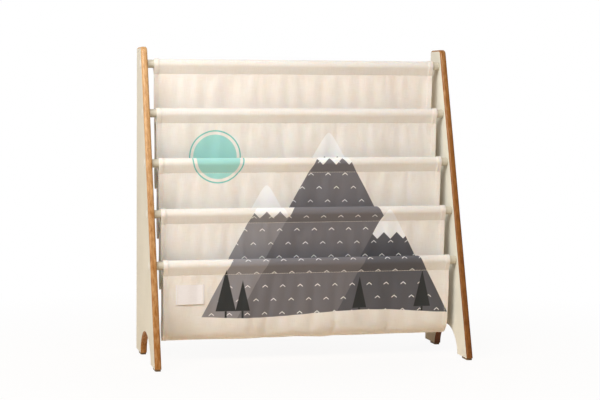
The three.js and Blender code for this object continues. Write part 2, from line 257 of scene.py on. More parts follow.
# The two side boards: 12.5 mm solid wood, cut to a taper with an arch between the feet. The
# faces have a satin cream paint. The edges are rounded over after painting, so they show
# wood right round, under a clear lacquer, and the feet are sawn flat. Each board is drilled
# and countersunk for five screws. The wood is painted darker towards the feet and on the
# right board, as painted shade.
BOARD = 12.5 * MM
EDGE_ROUND = 4 * MM
EDGE_STEPS = 6
FLAT_RIM = 0.6 * MM
FRONT_LEAN = 182.4 / 594
REAR_LEAN = 20.2 / 594
FRONT_EDGE_AT_FLOOR = -132.1 * MM
REAR_EDGE_AT_FLOOR = 130.9 * MM
BOARD_BOTTOM = 4 * MM
BOARD_TOP = 594 * MM
ARCH_MIDDLE = -3.5 * MM
ARCH_HALF_WIDTH = 67.5 * MM
ARCH_TOP = 52.5 * MM
FOOT_OFFCUT = 10 * MM
TOP_ROUNDS = {"rear": 6 * MM, "front": 10 * MM}
ARC_STEPS = 14
ARCH_STEPS = 40
ROD_COUNT = 5
SEAT_RADIUS = 7 * MM
SEAT_DEPTH = 5 * MM
SCREW_HOLE_RADIUS = 3.4 * MM
DRILL_OVERRUN = 2 * MM
TURNED_SIDES = 48
PAINT = (0.80, 0.785, 0.68, 1)
PAINT_THIN = (0.74, 0.72, 0.61, 1)
WOOD_PALE = (0.63, 0.38, 0.17, 1)
WOOD_HONEY = (0.31, 0.125, 0.026, 1)
WOOD_DEEP = (0.15, 0.045, 0.004, 1)
GRAIN_LINE = (0.14, 0.045, 0.008, 1)
# Painted shade in the wood's colour: darker towards the feet, and darker on the right board.
PAINTED_SHADE_TOWARDS_FEET = 0.42
PAINTED_SHADE_ON_RIGHT_BOARD = 0.38
BAND_CONTRAST = 0.9
PALER = 0.4
PORES_ABOVE = 0.58
GRAIN_PER_METRE = (230, 230, 4)
FINE_GRAIN_PER_METRE = (1100, 1100, 14)
PAINT_CLOUDS_PER_METRE = 14
ROLLER_MARKS_PER_METRE = 900
PAINT_LIMIT_WANDER = 0.12 * MM
PAINT_LIMIT_WAVES = 60
PAINT_LIMIT_SHARPNESS = 40000
LACQUER = 0.35
PAINT_GLOSS = 0.08


def rod_line(number):
    """The middle of a rod in side view, as (y, z)."""
    low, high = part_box(f"dowel_rod_{number}")
    return np.array(((low.y + high.y) / 2, (low.z + high.z) / 2))


def corner_arc(before, corner, after, radius):
    """An arc that touches both edges of an outline's corner. The outline runs anticlockwise."""
    back = (before - corner).normalized()
    on = (after - corner).normalized()
    half_angle = back.angle(on) / 2
    centre = corner + (back + on).normalized() * radius / math.sin(half_angle)
    touch = corner + back * radius / math.tan(half_angle) - centre
    turns = [(math.pi - 2 * half_angle) * step / ARC_STEPS for step in range(ARC_STEPS + 1)]
    return [centre + Matrix.Rotation(turn, 2) @ touch for turn in turns]


def round_arc(centre, radii, start, end, steps):
    """An arc of an ellipse between two angles in degrees."""
    angles = [math.radians(start + (end - start) * step / steps) for step in range(steps + 1)]
    return [centre + Vector((radii[0] * math.cos(a), radii[1] * math.sin(a))) for a in angles]


def front_edge_at(z):
    return Vector((FRONT_EDGE_AT_FLOOR + FRONT_LEAN * z, z))


def rear_edge_at(z):
    return Vector((REAR_EDGE_AT_FLOOR - REAR_LEAN * z, z))


def board_outline():
    """The board in side view, as points (y, z) anticlockwise from the front foot. The feet
    run on below the floor, to be sawn off after the edges are rounded over."""
    front_foot = front_edge_at(-FOOT_OFFCUT)
    rear_foot = rear_edge_at(-FOOT_OFFCUT)
    rear_top = rear_edge_at(BOARD_TOP)
    front_top = front_edge_at(BOARD_TOP)
    radii = (ARCH_HALF_WIDTH, ARCH_TOP)
    return (
        [front_foot, Vector((ARCH_MIDDLE - ARCH_HALF_WIDTH, -FOOT_OFFCUT))]
        + round_arc(Vector((ARCH_MIDDLE, 0)), radii, 180, 0, ARCH_STEPS)
        + [Vector((ARCH_MIDDLE + ARCH_HALF_WIDTH, -FOOT_OFFCUT)), rear_foot]
        + corner_arc(rear_foot, rear_top, front_top, TOP_ROUNDS["rear"])
        + corner_arc(rear_top, front_top, front_foot, TOP_ROUNDS["front"])
    )


def drawn_in(outline, inset):
    """The outline moved inwards by the same distance all round."""
    points = np.array(outline)
    before = points - np.roll(points, 1, axis=0)
    before /= np.linalg.norm(before, axis=1)[:, None]
    after = np.roll(before, -1, axis=0)
    share = 1 + np.sum(before * after, axis=1)
    along = (before + after) / share[:, None]
    return points - np.stack((along[:, 1], -along[:, 0]), axis=1) * inset


def block(low, high):
    """Points and faces of a box between two corners."""
    points = [(x, y, z) for x in (low[0], high[0]) for y in (low[1], high[1]) for z in (low[2], high[2])]
    faces = [(0, 1, 3, 2), (4, 6, 7, 5), (0, 4, 5, 1), (2, 3, 7, 6), (0, 2, 6, 4), (1, 5, 7, 3)]
    return points, faces


def turned(profile, middle, towards, sides=TURNED_SIDES):
    """Points and faces of a piece turned round a line along X. The profile is a list of
    (radius, depth), with depth measured along X in the direction towards."""
    closed = profile[0] == profile[-1]
    rings = profile[:-1] if closed else profile
    points = []
    for radius, depth in rings:
        for side in range(sides):
            angle = 2 * math.pi * side / sides * towards
            y = middle[1] + radius * math.cos(angle)
            points.append((middle[0] + towards * depth, y, middle[2] + radius * math.sin(angle)))
    count = len(rings)
    faces = []
    for ring in range(count if closed else count - 1):
        here = ring * sides
        there = (ring + 1) % count * sides
        for side in range(sides):
            after = (side + 1) % sides
            faces.append((here + side, there + side, there + after, here + after))
    if not closed:
        faces.append(tuple(range(sides)))
        faces.append(tuple(reversed(range((count - 1) * sides, count * sides))))
    return points, faces


def board_finish():
    """Cream paint on the flat faces, and lacquered wood with its grain along the edges. The wood
    also carries painted shade: darker towards the feet and on the right board.
    """
    material, shade, skin = new_finish("painted_board", {"Specular IOR Level": 0, "Coat Roughness": 0.22})
    place = shade.node("TexCoord", output="Object")
    across = shade.node("SeparateXYZ", {0: place})
    height = across.part("Z")
    wander = shade.node("TexNoise", {"Vector": place, "Scale": PAINT_LIMIT_WAVES, "Detail": 2}) - 0.5
    from_middle = abs(abs(across) - (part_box("right_side_panel")[1].x - BOARD / 2))
    off_face = from_middle + wander * PAINT_LIMIT_WANDER - (BOARD / 2 - PAINT_LIMIT_WANDER)
    painted = (off_face * PAINT_LIMIT_SHARPNESS).clamped()
    bands = shade.noise(place, GRAIN_PER_METRE, detail=3, Roughness=0.6)
    pores = shade.noise(place, FINE_GRAIN_PER_METRE)
    right_board = (across * (1 / MM)).clamped()
    # Painted shade: the wood's colour deepens towards the feet and on the right board.
    depth = (1 - height * (1 / BOARD_TOP)) * PAINTED_SHADE_TOWARDS_FEET + right_board * PAINTED_SHADE_ON_RIGHT_BOARD
    depth = depth + bands * BAND_CONTRAST - PALER
    wood = (depth * 2).clamped().mix(WOOD_PALE, WOOD_HONEY)
    wood = (depth * 2 - 1).clamped().mix(wood, WOOD_DEEP)
    wood = ((pores - PORES_ABOVE) * 3).clamped().mix(wood, GRAIN_LINE)
    mottle = shade.node("TexNoise", {"Vector": place, "Scale": PAINT_CLOUDS_PER_METRE, "Detail": 3})
    paint = ((mottle - 0.4) * 2).clamped().mix(PAINT, PAINT_THIN)
    shade.feed(skin["Base Color"], painted.mix(wood, paint))
    roller = shade.node("TexNoise", {"Vector": place, "Scale": ROLLER_MARKS_PER_METRE, "Detail": 2})
    shade.feed(skin["Roughness"], 0.5 + 0.08 * mottle - 0.06 * painted)
    shade.feed(skin["Coat Weight"], painted * (PAINT_GLOSS - LACQUER) + LACQUER)
    relief = roller * painted * 0.25 + (bands + pores * 0.6) * (1 - painted) + painted * 0.6
    shade.feed(skin["Normal"], shade.bump(0.35, 0.25 * MM, relief))
    return material


def side_board(name, outer_x, inwards, material):
    """One board. outer_x is its outer face, and inwards is 1 or -1, towards the rods."""
    outline = board_outline()
    levels = []
    for step in range(EDGE_STEPS + 1):
        angle = math.pi / 2 * step / EDGE_STEPS
        levels.append((EDGE_ROUND * (1 - math.cos(angle)), EDGE_ROUND * (1 - math.sin(angle))))
    levels.append((EDGE_ROUND + FLAT_RIM, 0))
    near = [(inset, depth) for inset, depth in reversed(levels)]
    far = [(inset, BOARD - depth) for inset, depth in levels]
    points = []
    for inset, depth in near + far:
        x = outer_x + inwards * depth
        points += [(x, y, z) for y, z in drawn_in(outline, inset)]
    around = len(outline)
    rings = len(near) + len(far)
    faces = []
    for ring in range(rings - 1):
        here = ring * around
        there = here + around
        for i in range(around):
            j = (i + 1) % around
            face = (here + i, here + j, there + j, there + i)
            faces.append(face if inwards < 0 else face[::-1])
    first = tuple(range(around))
    last = tuple(range((rings - 1) * around, rings * around))
    faces.append(first[::-1] if inwards < 0 else first)
    faces.append(last if inwards < 0 else last[::-1])
    board = new_piece(name, points, faces, material)
    below_feet = (min(x for x, _, _ in points) - BOARD, FRONT_EDGE_AT_FLOOR - BOARD, -2 * FOOT_OFFCUT)
    at_feet = (max(x for x, _, _ in points) + BOARD, REAR_EDGE_AT_FLOOR + BOARD, BOARD_BOTTOM)
    cut_points, cut_faces = block(below_feet, at_feet)
    for number in range(1, ROD_COUNT + 1):
        y, z = rod_line(number)
        profile = [
            (SEAT_RADIUS, -DRILL_OVERRUN),
            (SEAT_RADIUS, SEAT_DEPTH),
            (SCREW_HOLE_RADIUS, SEAT_DEPTH),
            (SCREW_HOLE_RADIUS, BOARD + DRILL_OVERRUN),
        ]
        points, faces = turned(profile, (outer_x, y, z), inwards)
        cut_faces += [tuple(i + len(cut_points) for i in face) for face in faces]
        cut_points += points
    waste = new_piece("waste", cut_points, cut_faces, material)
    cut = board.modifiers.new("holes_and_feet", "BOOLEAN")
    cut.operation = "DIFFERENCE"
    cut.solver = "EXACT"
    cut.object = waste
    finished = bpy.data.meshes.new_from_object(board.evaluated_get(bpy.context.evaluated_depsgraph_get()))
    board.modifiers.clear()
    board.data = finished
    finished.shade_smooth()
    finished.set_sharp_from_angle(angle=math.radians(SHARP_ABOVE))
    bpy.data.objects.remove(waste)
    return board


board_paint = board_finish()
for word, inwards in (("left", 1), ("right", -1)):
    node = f"{word}_side_panel"
    low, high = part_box(node)
    board = side_board(f"{word}_board", low.x if inwards > 0 else high.x, inwards, board_paint)
    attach(board, "root")
    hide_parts(node)

# The five rods: 16 mm dowels, painted the same cream before the sling is put on, with a
# small chamfer and a bore for the insert at each end. Only their ends show. Their colour
# is that cream darkened as painted shade, for the left board's shadow on their ends.
ROD_RADIUS = 8 * MM
ROD_CHAMFER = 0.8 * MM
ROD_BORE_RADIUS = 5 * MM
ROD_BORE_DEPTH = 20 * MM
# Painted shade: the rod's cream is darkened for the shadow that the left board casts on the rod ends.
ROD_PAINT_WITH_PAINTED_SHADE = (0.60, 0.56, 0.45, 1)
ROD_PAINT_THIN_WITH_PAINTED_SHADE = (0.52, 0.48, 0.37, 1)


def two_tone_finish(name, tones, per_metre, detail, contrast, roughness, relief, constants):
    """A finish that wanders from one tone to another. The same noise varies its roughness and
    its relief. contrast is where the second tone begins and how soon it is full, roughness is
    the least value and the range, and relief is the bump's strength and depth."""
    material, shade, skin = new_finish(name, constants)
    noise = shade.noise(shade.node("TexCoord", output="Object"), per_metre, detail)
    begins, gain = contrast
    shade.feed(skin["Base Color"], ((noise - begins) * gain).clamped().mix(*tones))
    shade.feed(skin["Roughness"], roughness[0] + roughness[1] * noise)
    shade.feed(skin["Normal"], shade.bump(*relief, noise))
    return material


rod_paint = two_tone_finish(
    "painted_rod",
    tones=(ROD_PAINT_WITH_PAINTED_SHADE, ROD_PAINT_THIN_WITH_PAINTED_SHADE),
    per_metre=(30, 700, 700),
    detail=3,
    contrast=(0.4, 2.2),
    roughness=(0.38, 0.2),
    relief=(0.3, 0.2 * MM),
    constants={"Specular IOR Level": 0.45},
)
for number in range(1, ROD_COUNT + 1):
    node = f"dowel_rod_{number}"
    low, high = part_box(node)
    length = high.x - low.x
    profile = [
        (ROD_BORE_RADIUS, ROD_BORE_DEPTH),
        (ROD_BORE_RADIUS, 0),
        (ROD_RADIUS - ROD_CHAMFER, 0),
        (ROD_RADIUS, ROD_CHAMFER),
        (ROD_RADIUS, length - ROD_CHAMFER),
        (ROD_RADIUS - ROD_CHAMFER, length),
        (ROD_BORE_RADIUS, length),
        (ROD_BORE_RADIUS, length - ROD_BORE_DEPTH),
    ]
    y, z = rod_line(number)
    rod = new_piece(f"rod_{number}", *turned(profile, (low.x, y, z), 1), rod_paint)
    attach(rod, "root")
    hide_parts(node)

# The fasteners: a zinc-plated screw through each board grips a brass insert in the rod's
# end, and a cream plastic cap covers the screw's head.
CAP_RADIUS = 8 * MM
CAP_RISE = 1.5 * MM
CAP_STEM_RADIUS = 6.6 * MM
CAP_STEM_DEPTH = 1.2 * MM
CAP_GAP = 0.3 * MM
CAP_TIP = 0.05 * MM
CAP_DOME_STEPS = 8
CAP_PLASTIC = (0.80, 0.78, 0.70, 1)
CAP_PLASTIC_WORN = (0.74, 0.71, 0.61, 1)
ZINC = (0.62, 0.63, 0.64, 1)
ZINC_DULL = (0.42, 0.43, 0.44, 1)
BRASS = (0.70, 0.50, 0.20, 1)
BRASS_DULL = (0.48, 0.32, 0.12, 1)


def refinish(node, finish):
    """Gives a piece of the frame its finish. Its shape stays as it is."""
    piece = frame["nodes"][node]
    piece.data.materials.clear()
    piece.data.materials.append(finish)
    return piece


def speckled_finish(name, tones, per_metre, least_rough, depth=0.05 * MM, metallic=0):
    """Moulded plastic or turned metal: even speckles, the same size all ways."""
    return two_tone_finish(
        name,
        tones,
        per_metre=(per_metre, per_metre, per_metre),
        detail=4,
        contrast=(0.35, 2.5),
        roughness=(least_rough, 0.18),
        relief=(0.3, depth),
        constants={"Metallic": metallic},
    )


cap_plastic = speckled_finish("cap_plastic", (CAP_PLASTIC, CAP_PLASTIC_WORN), 700, 0.34)
zinc = speckled_finish("zinc_plate", (ZINC, ZINC_DULL), 400, 0.25, metallic=1)
brass = speckled_finish("turned_brass", (BRASS, BRASS_DULL), 300, 0.28, metallic=1)
for word, inwards in (("left", 1), ("right", -1)):
    low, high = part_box(f"{word}_side_panel")
    outer_x = low.x if inwards > 0 else high.x
    for number in range(1, ROD_COUNT + 1):
        dome = []
        for step in range(CAP_DOME_STEPS + 1):
            angle = math.pi / 2 * step / CAP_DOME_STEPS
            height = (CAP_RISE - CAP_GAP) * math.cos(angle) + CAP_GAP
            dome.append((max(CAP_RADIUS * math.sin(angle), CAP_TIP), -height))
        stem = [(CAP_STEM_RADIUS, -CAP_GAP), (CAP_STEM_RADIUS, CAP_STEM_DEPTH)]
        y, z = rod_line(number)
        points, faces = turned(dome + stem, (outer_x, y, z), inwards)
        cap = new_piece(f"cap_{word}_{number}", points, faces, cap_plastic)
        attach(cap, "root")
        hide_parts(f"screw_cap_{word}_{number}")
        refinish(f"rod_screw_{word}_{number}", zinc)
        refinish(f"threaded_insert_{word}_{number}", brass)

# The foot pads: small dark brown plastic glides, pinned under the feet. The front ones lie
# at the front of their foot, and the rear ones beside the arch. Their edges are softened.
PAD_SOFTENING = 0.6 * MM
PAD_PLASTIC = (0.15, 0.09, 0.03, 1)
PAD_PLASTIC_SCUFFED = (0.23, 0.145, 0.06, 1)

pad_plastic = speckled_finish("pad_plastic", (PAD_PLASTIC, PAD_PLASTIC_SCUFFED), 350, 0.5, 0.1 * MM)
for foot in ("front", "rear"):
    for word in ("left", "right"):
        pad = refinish(f"foot_pad_{foot}_{word}", pad_plastic)
        soften = pad.modifiers.new("softened_edges", "BEVEL")
        soften.width = PAD_SOFTENING
        soften.segments = 3
        soften.limit_method = "ANGLE"
        soften.angle_limit = math.radians(50)

# The sling: a strip of cotton canvas with a sleeve sewn round each rod, left slack between
# two rods as a pocket. Its sides are hemmed, and the face that shows is printed. It is made
# in four lengths, each from the seam behind one rod to the seam behind the next.
CLOTH = 1.2 * MM
SLEEVE_RADIUS = 8.9 * MM
SEAM_DROP = 18.7 * MM
SEAM_OFFSET = 0.9 * MM
LAYER_GAP = 0.3 * MM
OVER_ROD_STEPS = 60
BESIDE_ROD_STEPS = 12
POCKET_DEPTH = 144 * MM
BACK_POINTS = ((6 * MM, -85 * MM), (7 * MM, -140 * MM))
TROUGH_BACK = (12 * MM, 40 * MM)
TROUGH_LOWEST_BEHIND = 4 * MM
TROUGH_FRONT_RISE = 50 * MM
TROUGH_STEPS = 5
FRONT_DROP = 60 * MM
FRONT_RESTING = (8 * MM, 5.6 * MM)
FRONT_FREE = (3 * MM, 2 * MM)
BROAD_FOLDS = ((196 * MM, 1.5 * MM, 0.6), (127 * MM, 0.9 * MM, 2.3))
FOLD_ONSET = 55 * MM
TURN_BLEND = 0.12
TROUGH_HOLD = 0.2
FINE_FOLD_SPACING = 41 * MM
FINE_FOLD_JITTER = 9 * MM
FINE_FOLD_HEIGHTS = (0.5 * MM, 1.3 * MM)
FINE_FOLD_WIDTHS = (8 * MM, 14 * MM)
FINE_FOLD_REACHES = (60 * MM, 200 * MM)
FINE_FOLD_LEANS = (-0.16, 0.1)
FINE_FOLD_DEEPEST = 0.7
HEM_WIDTH = 9.2 * MM
HEM_STEP = 0.45 * MM
HEM_EXTRA = 0.9 * MM
HEM_SEAM = 7.6 * MM
HEM_DRAW_IN = 2 * MM
HEM_DRAW_IN_REACH = 70 * MM
SEAM_GROOVE = 0.28 * MM
SEAM_GROOVE_REACH = 0.8 * MM
PUCKERS = ((11 * MM, 0.24 * MM), (7.3 * MM, 0.13 * MM))
PUCKER_REACH = 7 * MM
PUCKER_PHASE = 2.1
EDGE_COLUMNS = (0.5, 1.6, 3.6, 5.6, 6.8, 7.6, 8.4, 9.2, 10.1, 11.4, 14)
SEAM_ROWS = (0.6, 1.3, 2.2, 3.6, 5.6, 8)
CLOTH_STEP = 4 * MM
SLEEVE_STEP = 2 * MM
SIM_STEP = 5 * MM
SIM_FRAMES = 24
SIM_LIMIT = 4 * MM
SIM_CLOTH = {
    "quality": 6,
    "mass": 0.02,
    "tension_stiffness": 30,
    "compression_stiffness": 30,
    "shear_stiffness": 8,
    "bending_stiffness": 1.5,
    "air_damping": 4,
    "pin_stiffness": 2,
    "shrink_min": -0.005,
}
PRINT_OVERLAP = 15 * MM
PRINT_BEHIND_TOP = 10 * MM
SHOW_THROUGH = 0.1
SEEN_THROUGH = 0.5
GLOW_REACH = (2 * MM, 1.4 * MM, 1 * MM)


def smooth_through(points, steps=24):
    """A curve through points (y, z), as close points."""
    ends = np.vstack((points[:1], points, points[-1:]))
    t = np.linspace(0, 1, steps, endpoint=False)[:, None]
    parts = []
    for a, b, c, d in zip(ends, ends[1:], ends[2:], ends[3:]):
        bend = (2 * a - 5 * b + 4 * c - d) * t**2 + (3 * b - 3 * c + d - a) * t**3
        parts.append((2 * b + (c - a) * t + bend) / 2)
    return np.vstack(parts + [points[-1:]])


def sleeve_path(rod):
    """From the seam behind a rod, over the rod, to the seam in front of it."""
    reach = math.hypot(SEAM_OFFSET, SEAM_DROP)
    touch = math.acos(SLEEVE_RADIUS / reach) - math.atan2(SEAM_DROP, SEAM_OFFSET)
    turns = np.linspace(touch, math.pi - touch, OVER_ROD_STEPS)
    over = rod + SLEEVE_RADIUS * np.stack((np.cos(turns), np.sin(turns)), axis=1)
    straight = np.linspace(0, 1, BESIDE_ROD_STEPS, endpoint=False)[:, None]
    back_seam = rod + (SEAM_OFFSET, -SEAM_DROP)
    front_seam = rod + (-SEAM_OFFSET, -SEAM_DROP)
    up_the_back = back_seam + (over[0] - back_seam) * straight
    up_the_front = front_seam + (over[-1] - front_seam) * straight
    return np.vstack((up_the_back, over, up_the_front[::-1]))


def quarter_turn(start, end, upright):
    """A quarter of an ellipse. It leaves start vertically if upright, or else meets end so."""
    angles = (np.arange(TROUGH_STEPS) + 0.5) / TROUGH_STEPS * math.pi / 2
    sweep = (1 - np.cos(angles), np.sin(angles)) if upright else (np.sin(angles), 1 - np.cos(angles))
    return np.array(start) + np.stack(sweep, axis=1) * (np.array(end) - np.array(start))


def pocket_path(rod, lip, lowest):
    """From the seam in front of a rod, down, round the trough and up to the next rod's seam."""
    lower, upper = FRONT_FREE if lowest else FRONT_RESTING
    bottom_z = lip[1] - POCKET_DEPTH
    back_at_trough = (rod[0] + TROUGH_BACK[0], bottom_z + TROUGH_BACK[1])
    bottom = (rod[0] + TROUGH_LOWEST_BEHIND, bottom_z)
    front_at_trough = (lip[0] + lower, bottom_z + TROUGH_FRONT_RISE)
    last = (-SEAM_OFFSET, -SEAM_DROP) if lowest else (SEAM_OFFSET, -SEAM_DROP - LAYER_GAP)
    return smooth_through(np.vstack((
        rod + (-SEAM_OFFSET, -SEAM_DROP),
        rod + BACK_POINTS[0],
        rod + BACK_POINTS[1],
        back_at_trough,
        quarter_turn(back_at_trough, bottom, True),
        bottom,
        quarter_turn(bottom, front_at_trough, False),
        front_at_trough,
        (lip[0] + upper, lip[1] - FRONT_DROP),
        lip + last,
    )))


def smooth_step(low, high, value):
    share = np.clip((value - low) / (high - low), 0, 1)
    return share * share * (3 - 2 * share)


def fold_height(number, x, drop):
    """How far the cloth below a rod stands off its path, at x and at drop below the seam."""
    broad = sum(h * np.sin(2 * math.pi * x / wave + phase * number) for wave, h, phase in BROAD_FOLDS)
    chance = np.random.default_rng(number)
    fine = 0
    for middle in np.arange(x.min(), x.max(), FINE_FOLD_SPACING):
        middle = middle + chance.uniform(-1, 1) * FINE_FOLD_JITTER
        lean = chance.uniform(*FINE_FOLD_LEANS)
        height = chance.uniform(*FINE_FOLD_HEIGHTS) * chance.choice((-1, 1))
        width = chance.uniform(*FINE_FOLD_WIDTHS)
        reach = chance.uniform(*FINE_FOLD_REACHES)
        off = (x - middle - lean * drop) / width
        fine = fine + height * np.exp(-(off**2) - (drop / reach - FINE_FOLD_DEEPEST) ** 2)
    return (1 - np.exp(-np.maximum(0, drop) / FOLD_ONSET)) * (broad + fine)


def pucker_height(number, x, from_seam):
    """The small puckers that a line of stitches draws up in the cloth beside it."""
    waves = 0
    for wave, height in PUCKERS:
        waves = waves + height * np.sin(2 * math.pi * x / wave + PUCKER_PHASE * number * wave / MM)
    return waves * np.exp(-((from_seam / PUCKER_REACH) ** 2))


def distances_along(line):
    """How far along a line each of its points is."""
    return np.concatenate(([0], np.cumsum(np.linalg.norm(np.diff(line, axis=0), axis=1))))


class CanvasLength:
    """One length of the sling in side view. Distances along it start at its front seam."""

    def __init__(self, number):
        self.number = number
        self.rod = rod_line(number)
        self.lip = rod_line(number + 1)
        self.lowest = number + 1 == ROD_COUNT
        over = sleeve_path(self.rod)
        down = pocket_path(self.rod, self.lip, self.lowest)[1:]
        beyond = sleeve_path(self.lip)[::-1][1:] if self.lowest else np.empty((0, 2))
        self.path = np.vstack((over, down, beyond))
        self.gone = distances_along(self.path)
        self.gone -= self.gone[len(over) - 1]
        self.start = self.gone[0]
        self.lip_seam = self.gone[len(over) + len(down) - 1]
        self.end = self.gone[-1]
        self.turn = self.lip_seam - POCKET_DEPTH

    def height(self, distance):
        return np.interp(distance, self.gone, self.path[:, 1])

    def to_front(self, distance):
        """0 on the pocket's back and 1 on its front, with a smooth change round the trough."""
        blend = TURN_BLEND * self.lip_seam
        return smooth_step(self.turn - blend, self.turn + blend, distance)

    def points(self, distances, places):
        """The middle of the cloth as a grid of points, a row for each distance."""
        distance, x = np.meshgrid(distances, places, indexing="ij")
        y = np.interp(distance, self.gone, self.path[:, 0])
        z = self.height(distance)
        behind = fold_height(self.number, x, self.rod[1] - z - SEAM_DROP)
        before = fold_height(self.number + 1, x, self.lip[1] - z - SEAM_DROP)
        y = y + behind + (before - behind) * self.to_front(distance)
        y = y + pucker_height(self.number, x, distance)
        y = y + pucker_height(self.number + 1, x, distance - self.lip_seam)
        return np.stack((x, y, z), axis=2)


def blend_weights(wanted, known):
    """Weights that carry values from evenly spaced places to other places, smoothly."""
    place = np.clip((np.asarray(wanted) - known[0]) / (known[1] - known[0]), 0, len(known) - 1)
    cell = np.minimum(place.astype(int), len(known) - 2)
    t = place - cell
    shares = (
        (2 * t**2 - t - t**3) / 2,
        (2 - 5 * t**2 + 3 * t**3) / 2,
        (t + 4 * t**2 - 3 * t**3) / 2,
        (t**3 - t**2) / 2,
    )
    weights = np.zeros((len(place), len(known)))
    for offset, share in enumerate(shares, start=-1):
        np.add.at(weights, (np.arange(len(place)), np.clip(cell + offset, 0, len(known) - 1)), share)
    return weights


def let_hang(grid, held):
    """Lets a grid of cloth points hang in the simulation, and gives how far each one moved.
    held is 1 where the cloth is sewn or rests on something, and 0 where it is free."""
    rows, columns, _ = grid.shape
    corner = np.arange(rows * columns).reshape(rows, columns)
    quads = np.stack((corner[:-1, :-1], corner[1:, :-1], corner[1:, 1:], corner[:-1, 1:]), axis=-1)
    mesh = bpy.data.meshes.new("hanging_cloth")
    mesh.from_pydata(grid.reshape(-1, 3).tolist(), [], quads.reshape(-1, 4).tolist())
    hanging = bpy.data.objects.new("hanging_cloth", mesh)
    scene.collection.objects.link(hanging)
    group = hanging.vertex_groups.new(name="held")
    for level in np.unique(held.round(2)):
        group.add(np.flatnonzero(held.round(2).ravel() == level).tolist(), float(level), "REPLACE")
    cloth = hanging.modifiers.new("cloth", "CLOTH")
    for setting, value in SIM_CLOTH.items():
        setattr(cloth.settings, setting, value)
    cloth.settings.vertex_group_mass = "held"
    cloth.collision_settings.use_collision = False
    for moment in range(1, SIM_FRAMES + 1):
        scene.frame_set(moment)
    settled = hanging.evaluated_get(bpy.context.evaluated_depsgraph_get()).to_mesh()
    points = np.empty(rows * columns * 3, dtype=np.float32)
    settled.vertices.foreach_get("co", points)
    scene.frame_set(1)
    bpy.data.objects.remove(hanging)
    moved = points.reshape(rows, columns, 3) - grid
    far = np.linalg.norm(moved, axis=2, keepdims=True)
    return moved * SIM_LIMIT * np.tanh(far / SIM_LIMIT) / np.maximum(far, 1e-9)


def spaced(low, high, step):
    return np.linspace(low, high, max(2, round((high - low) / step) + 1))


def canvas_columns(half):
    """Places across the cloth, closer together at the hems."""
    edge = half - np.array(EDGE_COLUMNS) * MM
    return np.concatenate((-edge, spaced(-edge[-1], edge[-1], CLOTH_STEP)[1:-1], edge[::-1]))


def canvas_rows(length):
    """Distances along the cloth, closer together at its seams."""
    after = np.array(SEAM_ROWS) * MM
    before = -after[::-1]
    lip = length.lip_seam
    rows = [spaced(length.start, before[0], SLEEVE_STEP)[:-1], before, [0], after]
    rows += [spaced(after[-1], lip + before[0], CLOTH_STEP)[1:-1], lip + before, [lip]]
    if length.end > lip:
        rows += [lip + after, spaced(lip + after[-1], length.end, SLEEVE_STEP)[1:]]
    return np.concatenate(rows)


def thick_cloth(name, grid, front_off, back_off, facts, material):
    """Closes a grid of points into cloth with rounded side edges. Its faces stand front_off
    and back_off from the grid, and a fact is a value for each point of the two faces."""
    rows, columns, _ = grid.shape
    across = np.gradient(grid, axis=1)
    outward = np.cross(np.gradient(grid, axis=0), across)
    outward /= np.linalg.norm(outward, axis=2, keepdims=True)
    across /= np.linalg.norm(across, axis=2, keepdims=True)
    front = grid + outward * front_off[..., None]
    back = grid - outward * back_off[..., None]
    middle = (front + back) / 2
    bulge = across * EDGE_COLUMNS[0] * MM
    right_edge = (middle + bulge)[:, -1:]
    left_edge = (middle - bulge)[:, :1]
    loops = np.concatenate((front, right_edge, back[:, ::-1], left_edge), axis=1)
    around = loops.shape[1]
    here = np.arange(rows * around).reshape(rows, around)
    after = np.roll(here, -1, axis=1)
    faces = np.stack((here[:-1], here[1:], after[1:], after[:-1]), axis=-1).reshape(-1, 4).tolist()
    for line, turn in ((here[0].tolist(), 1), (here[-1].tolist(), -1)):
        facing = line[around - 2:columns - 1:-1]
        ends = [(line[i], line[i + 1], facing[i + 1], facing[i]) for i in range(columns - 1)]
        ends += [tuple(line[columns - 1:columns + 2]), (line[-2], line[-1], line[0])]
        faces += [end[::turn] for end in ends]
    cloth = new_piece(name, loops.reshape(-1, 3), faces, material, sharp_above=70)
    for word, (on_front, on_back) in facts.items():
        values = np.concatenate((on_front, on_front[:, -1:], on_back[:, ::-1], on_front[:, :1]), axis=1)
        vector = values.ndim == 3
        attribute = cloth.data.attributes.new(word, "FLOAT_VECTOR" if vector else "FLOAT", "POINT")
        attribute.data.foreach_set("vector" if vector else "value", values.ravel())
    return cloth, front, back, outward


def tone(red, green, blue):
    """A colour as it shows on a screen, from 0 to 255 a channel, as the shader needs it."""
    return (*[((c / 255 + 0.055) / 1.055) ** 2.4 for c in (red, green, blue)], 1)


# The print, in millimetres on the cloth: u runs across from the middle, and v is the height
# above the floor at which the printed face hangs. It shows mountains under a pale green sun.
CREAM = tone(241, 237, 231)
CREAM_SHADE = tone(233, 226, 217)
SLATE = tone(121, 119, 122)
SLATE_PALE = tone(146, 144, 146)
SLATE_DARK = tone(98, 98, 102)
CHARCOAL = tone(58, 60, 60)
MINT = tone(163, 216, 209)
MINT_DEEP = tone(120, 196, 188)
PRINT_WHITE = tone(250, 249, 246)
PEAK_FOOT = 95
PEAK_ROUNDING = 7
PEAKS = (
    {"middle": -70, "top": 330, "half_width": 125, "colour": SLATE_PALE},
    {"middle": 60, "top": 430, "half_width": 185, "colour": SLATE},
    {"middle": 165, "top": 285, "half_width": 100, "colour": SLATE_DARK},
)
SNOW_DEPTH = 46
SNOW_TOOTH_WIDTH = 26
SNOW_TOOTH_HEIGHT = 13
GROUND_HEIGHT = 88
GROUND_SWELL = 5
GROUND_WAVE = 70
PINES = ((-160, 80), (-128, 58), (225, 70), (100, 60))
PINE_SPREAD = 0.24
TRUNK_HEIGHT = 9
TRUNK_HALF_WIDTH = 2
SUN_MIDDLE = (-165, 385)
SUN_RADIUS = 42
SUN_RING = 49
